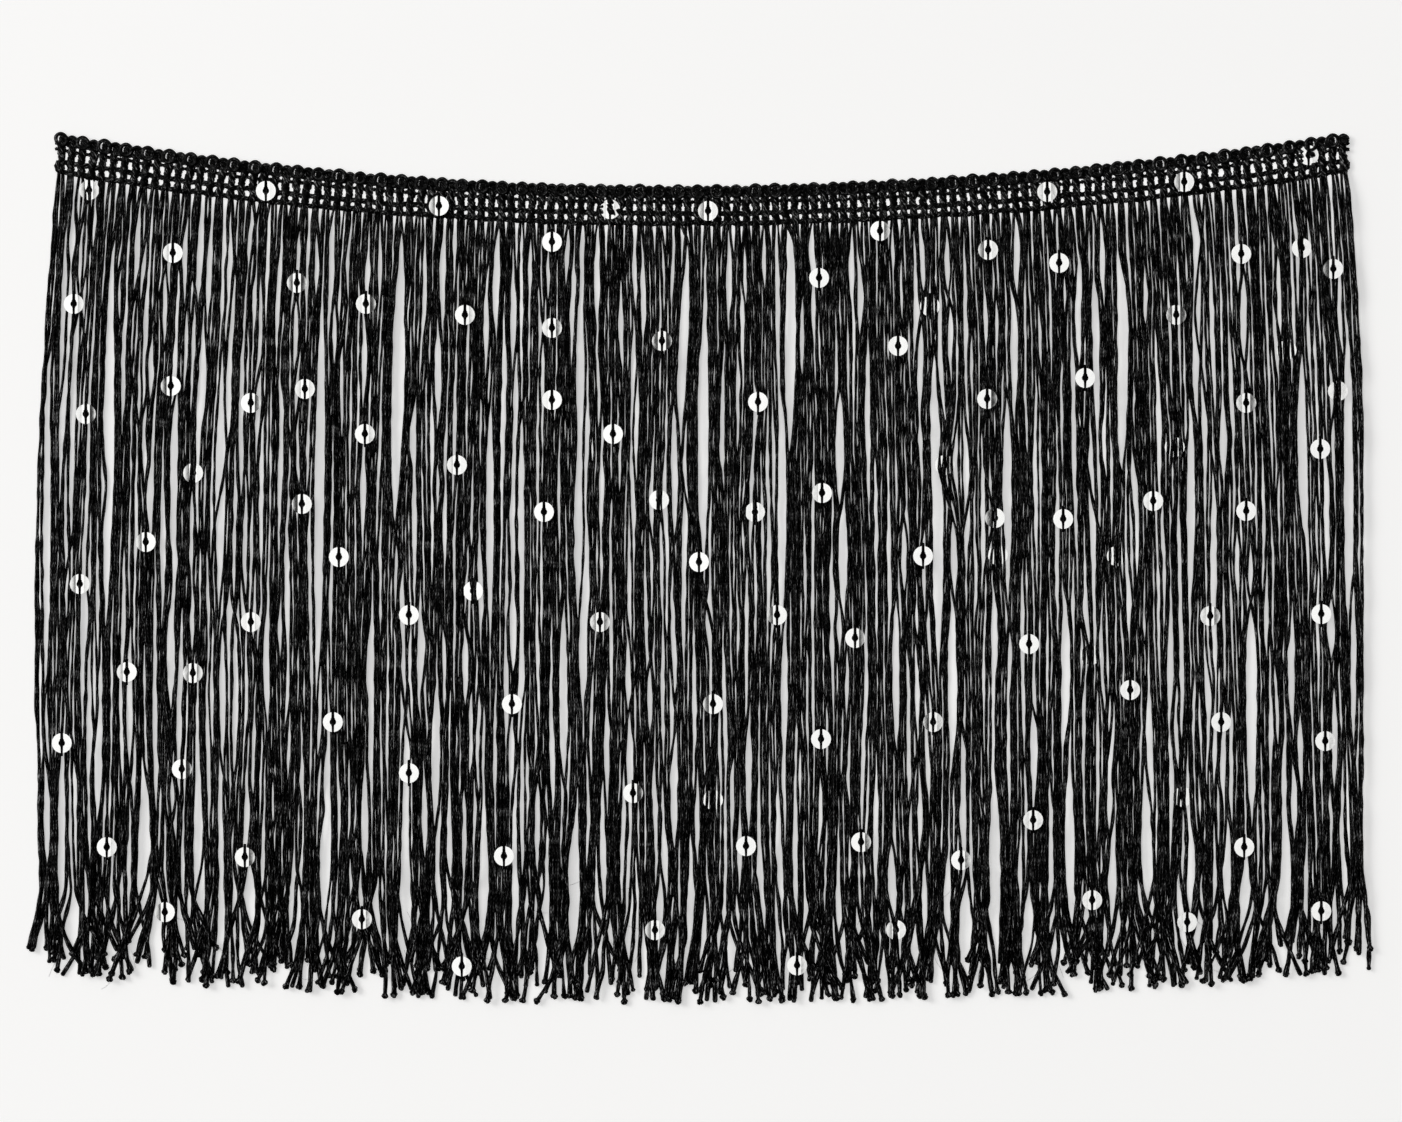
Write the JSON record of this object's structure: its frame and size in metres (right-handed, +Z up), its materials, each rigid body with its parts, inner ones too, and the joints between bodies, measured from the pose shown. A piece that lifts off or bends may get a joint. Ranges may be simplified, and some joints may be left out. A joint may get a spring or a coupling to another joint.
{
  "type": "sequin fringe",
  "caption": "Cut length of chainette fringe trimming: openwork heading tape with a scalloped edge, long yarn strands gathered in clumps and scattered flat sequins, laid flat.",
  "frame": {"origin": "on the surface it lies on, under the middle of the piece", "axes": "+X along the heading to the right, +Y from the strand ends towards the heading, +Z up from the surface, out of the face that shows"},
  "size_m": [0.4044, 0.2621, 0.0031],
  "materials": {
    "heading_yarn": "black crocheted rayon yarn, soft sheen",
    "fringe_yarn": "black chainette rayon yarn, glossy in small glints",
    "sequin_foil": "silver metallised film, mirror gloss"
  },
  "bodies": {
    "root": {"heading": "heading_yarn", "fringe": "fringe_yarn", "sequin_01": "sequin_foil", "sequin_02": "sequin_foil", "sequin_03": "sequin_foil", "sequin_04": "sequin_foil", "sequin_05": "sequin_foil", "sequin_06": "sequin_foil", "sequin_07": "sequin_foil", "sequin_08": "sequin_foil", "sequin_09": "sequin_foil", "sequin_10": "sequin_foil", "sequin_11": "sequin_foil", "sequin_12": "sequin_foil", "sequin_13": "sequin_foil", "sequin_14": "sequin_foil", "sequin_15": "sequin_foil", "sequin_16": "sequin_foil", "sequin_17": "sequin_foil", "sequin_18": "sequin_foil", "sequin_19": "sequin_foil", "sequin_20": "sequin_foil", "sequin_21": "sequin_foil", "sequin_22": "sequin_foil", "sequin_23": "sequin_foil", "sequin_24": "sequin_foil", "sequin_25": "sequin_foil", "sequin_26": "sequin_foil", "sequin_27": "sequin_foil", "sequin_28": "sequin_foil", "sequin_29": "sequin_foil", "sequin_30": "sequin_foil", "sequin_31": "sequin_foil", "sequin_32": "sequin_foil", "sequin_33": "sequin_foil", "sequin_34": "sequin_foil", "sequin_35": "sequin_foil", "sequin_36": "sequin_foil", "sequin_37": "sequin_foil", "sequin_38": "sequin_foil", "sequin_39": "sequin_foil", "sequin_40": "sequin_foil", "sequin_41": "sequin_foil", "sequin_42": "sequin_foil", "sequin_43": "sequin_foil", "sequin_44": "sequin_foil", "sequin_45": "sequin_foil", "sequin_46": "sequin_foil", "sequin_47": "sequin_foil", "sequin_48": "sequin_foil", "sequin_49": "sequin_foil", "sequin_50": "sequin_foil", "sequin_51": "sequin_foil", "sequin_52": "sequin_foil", "sequin_53": "sequin_foil", "sequin_54": "sequin_foil", "sequin_55": "sequin_foil", "sequin_56": "sequin_foil"}
  },
  "joints": []
}
